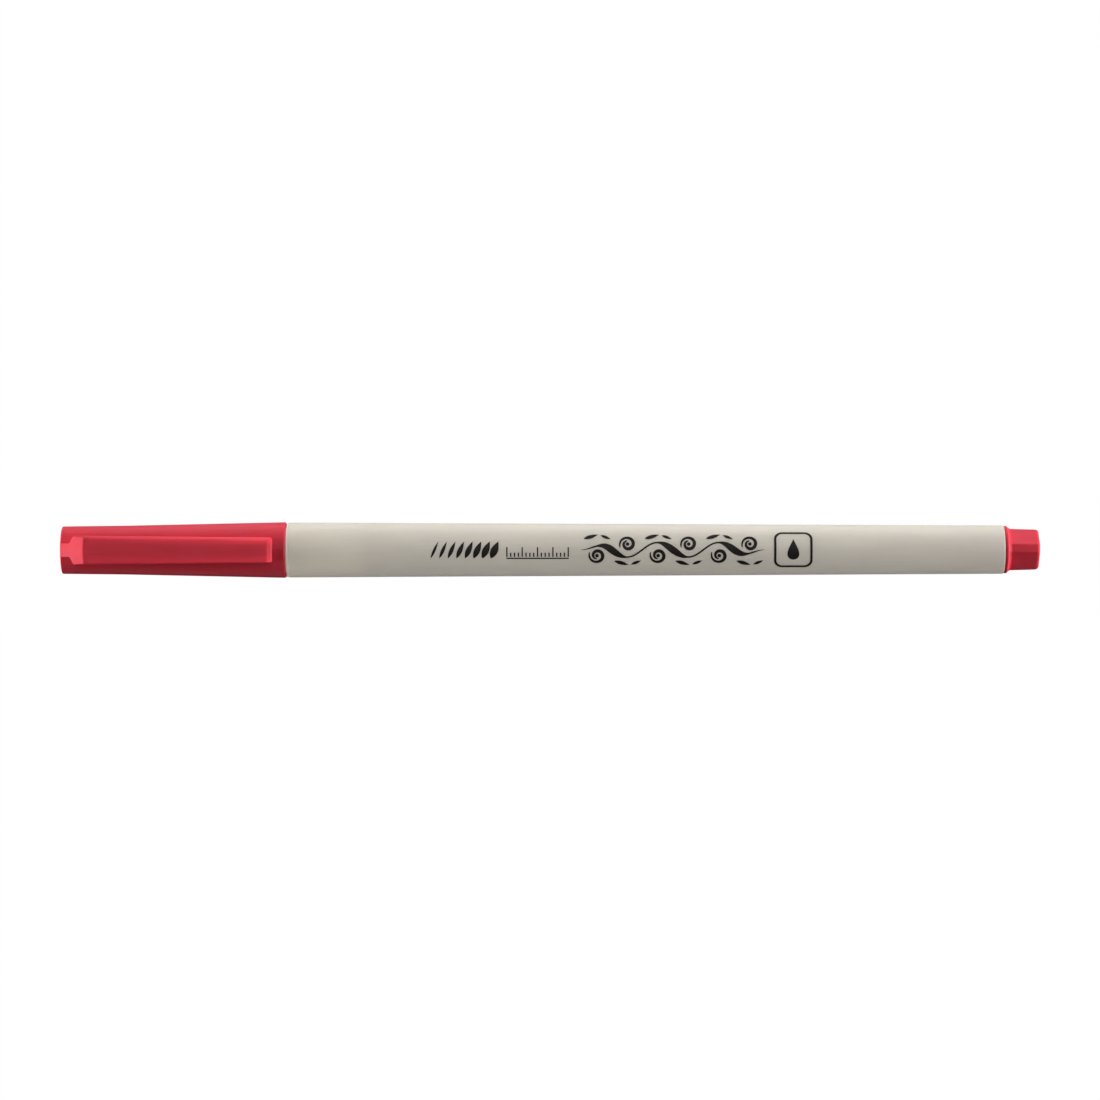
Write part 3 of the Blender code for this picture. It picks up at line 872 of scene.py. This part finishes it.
def bar(u_a, v_a, u_b, v_b, half_width, steps=1):
    start, end = Vector((u_a, v_a)), Vector((u_b, v_b))
    return ribbon(lambda t: start.lerp(end, t), lambda t: half_width, steps=steps, across=2)


def make_dabs():
    """A row of slanted brush dabs, each bolder than the last."""
    count = 8
    pitch = (DABS_END - DABS_START) / count
    strokes = []
    for i in range(count):
        bold = 0.22 + 0.055 * i
        strokes.append(leaf(DABS_START + (i + 0.5) * pitch, 0.0, 3.1, bold, 66, across=6))
    printed("print_dabs", strokes)


def make_tick_scale():
    """A fine scale: a base line and ticks, every fourth one long."""
    base, count = -1.40, 17
    pitch = (SCALE_END - SCALE_START) / (count - 1)
    strokes = [bar(SCALE_START - 0.1, base, SCALE_END + 0.1, base, FINE_LINE, steps=12)]
    for i in range(count):
        u = SCALE_START + i * pitch
        height = 1.85 if i % 4 == 0 else 0.95
        strokes.append(bar(u, base + 0.25, u, base + height, FINE_LINE, steps=6))
    printed("print_scale", strokes)


def spiral(u, v, side, start_radius, end_radius, turns):
    """A curl that winds in to its middle, swelling half way."""

    def centre(t):
        angle = math.radians(-25) + math.tau * turns * t
        radius = start_radius + (end_radius - start_radius) * t**0.8
        return Vector((u - radius * math.cos(angle), v + side * radius * math.sin(angle)))

    return ribbon(centre, lambda t: 0.09 + 0.19 * math.sin(math.pi * t) ** 0.8, steps=60)


def make_flourish():
    """A running scroll: a waving stem that swells as it falls, a curl in each bay, and leaves outside."""
    waves, height = 3, 1.2
    length = FLOURISH_END - FLOURISH_START

    def stem(t):
        ease = min(1.0, 6 * t, 6 * (1 - t))
        return Vector((FLOURISH_START + length * t, ease * height * math.sin(math.tau * waves * t)))

    def weight(t):
        falling = max(0.0, -math.cos(math.tau * waves * t))
        return (0.14 + 0.44 * falling**1.3) * min(1.0, 12 * t + 0.2, 12 * (1 - t) + 0.2)

    strokes = [ribbon(stem, weight, steps=240)]
    bay = length / (2 * waves)
    for k in range(2 * waves):
        u = FLOURISH_START + (k + 0.5) * bay
        side = 1 if k % 2 == 0 else -1
        strokes.append(spiral(u + 0.1, -0.95 * side, -side, 1.35, 0.52, 1.3))
        strokes.append(dot(u + 0.1, -0.95 * side, 0.30))
        strokes.append(leaf(u - 0.9, 2.25 * side, 2.5, 0.34, 18 * side))
        strokes.append(leaf(u + 1.5, 2.15 * side, 1.8, 0.26, -24 * side))
    printed("print_flourish", strokes)


def make_drop_sign():
    """A frame with rounded corners round a solid drop of ink."""
    half, corner = 2.95, 1.2
    middle = Vector((SIGN_MIDDLE, 0.0))
    straight = 2 * (half - corner)
    quarter = straight + corner * math.pi / 2

    def frame_line(t):
        distance = (t * 4 % 4) * quarter
        side, along = divmod(distance, quarter)
        turn = math.radians(90) * side
        if along < straight:
            local = Vector((half, along - straight / 2))
        else:
            bend = (along - straight) / corner
            local = Vector((half - corner, half - corner)) + corner * Vector((math.cos(bend), math.sin(bend)))
        local.rotate(Matrix.Rotation(turn, 2))
        return middle + local

    strokes = [ribbon(frame_line, lambda t: 0.2, steps=144, closed=True)]
    strokes.append(
        ribbon(
            lambda t: middle + Vector((0, 0.1 + 1.75 * math.cos(math.pi * t))),
            lambda t: 1.42 * math.sin(math.pi * t) * math.sin(math.pi * t / 2) ** 1.7,
            steps=48,
            across=12,
        )
    )
    printed("print_sign", strokes)


# ---------------------------------------------------------------- floor, light and camera


def make_floor():
    """White floor under the pen. To the camera it shines, so that it stays white in the dim room."""
    level = cad_bounds[0].z
    work = bmesh.new()
    bmesh.ops.create_grid(work, x_segments=1, y_segments=1, size=FLOOR_HALF_SIZE)
    bmesh.ops.translate(work, vec=(0, 0, level), verts=work.verts)
    mesh = bpy.data.meshes.new("floor")
    work.to_mesh(mesh)
    work.free()
    floor = bpy.data.objects.new("floor", mesh)
    bpy.context.scene.collection.objects.link(floor)
    material = bpy.data.materials.new("pale_floor")
    material.use_nodes = True
    tree = material.node_tree
    matte = tree.nodes["Principled BSDF"]
    matte.inputs["Base Color"].default_value = (*FLOOR_COLOUR, 1)
    matte.inputs["Roughness"].default_value = 0.9
    glow = tree.nodes.new("ShaderNodeEmission")
    glow.inputs["Color"].default_value = (1, 1, 1, 1)
    glow.inputs["Strength"].default_value = FLOOR_GLOW
    path = tree.nodes.new("ShaderNodeLightPath")
    share = tree.nodes.new("ShaderNodeMath")
    share.operation = "MULTIPLY"
    share.inputs[1].default_value = FLOOR_GLOW_SHARE
    tree.links.new(path.outputs["Is Camera Ray"], share.inputs[0])
    mix = tree.nodes.new("ShaderNodeMixShader")
    tree.links.new(share.outputs[0], mix.inputs["Fac"])
    tree.links.new(matte.outputs["BSDF"], mix.inputs[1])
    tree.links.new(glow.outputs["Emission"], mix.inputs[2])
    tree.links.new(mix.outputs["Shader"], tree.nodes["Material Output"].inputs["Surface"])
    mesh.materials.append(material)
    floor.visible_diffuse = False
    floor.visible_glossy = False
    floor.visible_transmission = False
    floor.visible_shadow = False


def direction_from(azimuth_deg, elevation_deg):
    """Unit vector away from the pen; azimuth 0 is towards +X and 90 towards +Y."""
    a, e = math.radians(azimuth_deg), math.radians(elevation_deg)
    return Vector((math.cos(a) * math.cos(e), math.sin(a) * math.cos(e), math.sin(e)))


def make_panel_light(name, azimuth_deg, elevation_deg, shift, power):
    light = bpy.data.lights.new(name, "AREA")
    light.shape = "SQUARE"
    light.size = PANEL_SIZE
    light.energy = power
    panel = bpy.data.objects.new(name, light)
    bpy.context.scene.collection.objects.link(panel)
    away = direction_from(azimuth_deg, elevation_deg)
    panel.location = PEN_MIDDLE + Vector((shift, 0, 0)) + away * PANEL_DISTANCE
    panel.rotation_euler = (-away).to_track_quat("-Z", "Y").to_euler()
    panel.visible_camera = False


def make_lights():
    for panel in PANELS:
        make_panel_light(*panel)
    world = bpy.data.worlds.new("studio")
    bpy.context.scene.world = world
    world.use_nodes = True
    tree = world.node_tree
    background = tree.nodes["Background"]
    background.inputs["Color"].default_value = (1, 1, 1, 1)
    path = tree.nodes.new("ShaderNodeLightPath")
    strength = tree.nodes.new("ShaderNodeMapRange")
    strength.inputs["To Min"].default_value = ROOM_LIGHT
    strength.inputs["To Max"].default_value = BACKDROP
    tree.links.new(path.outputs["Is Camera Ray"], strength.inputs["Value"])
    tree.links.new(strength.outputs["Result"], background.inputs["Strength"])


def make_camera():
    """Straight above the middle of the pen, with the clip facing it."""
    camera = bpy.data.cameras.new("camera")
    camera.lens = camera.sensor_width / 2 / math.tan(CAMERA_FIELD / 2)
    camera.clip_start = 0.01
    holder = bpy.data.objects.new("camera", camera)
    bpy.context.scene.collection.objects.link(holder)
    holder.location = PEN_MIDDLE + CAMERA_SHIFT + Vector((0, 0, CAMERA_HEIGHT))
    holder.rotation_euler.z = CAMERA_ROLL
    bpy.context.scene.camera = holder
    bpy.context.scene.view_settings.view_transform = "Standard"


make_barrel()
make_front()
make_nib()
make_ink_supply()
make_tail_plug()
make_cap()
make_dabs()
make_tick_scale()
make_flourish()
make_drop_sign()
make_floor()
make_lights()
make_camera()
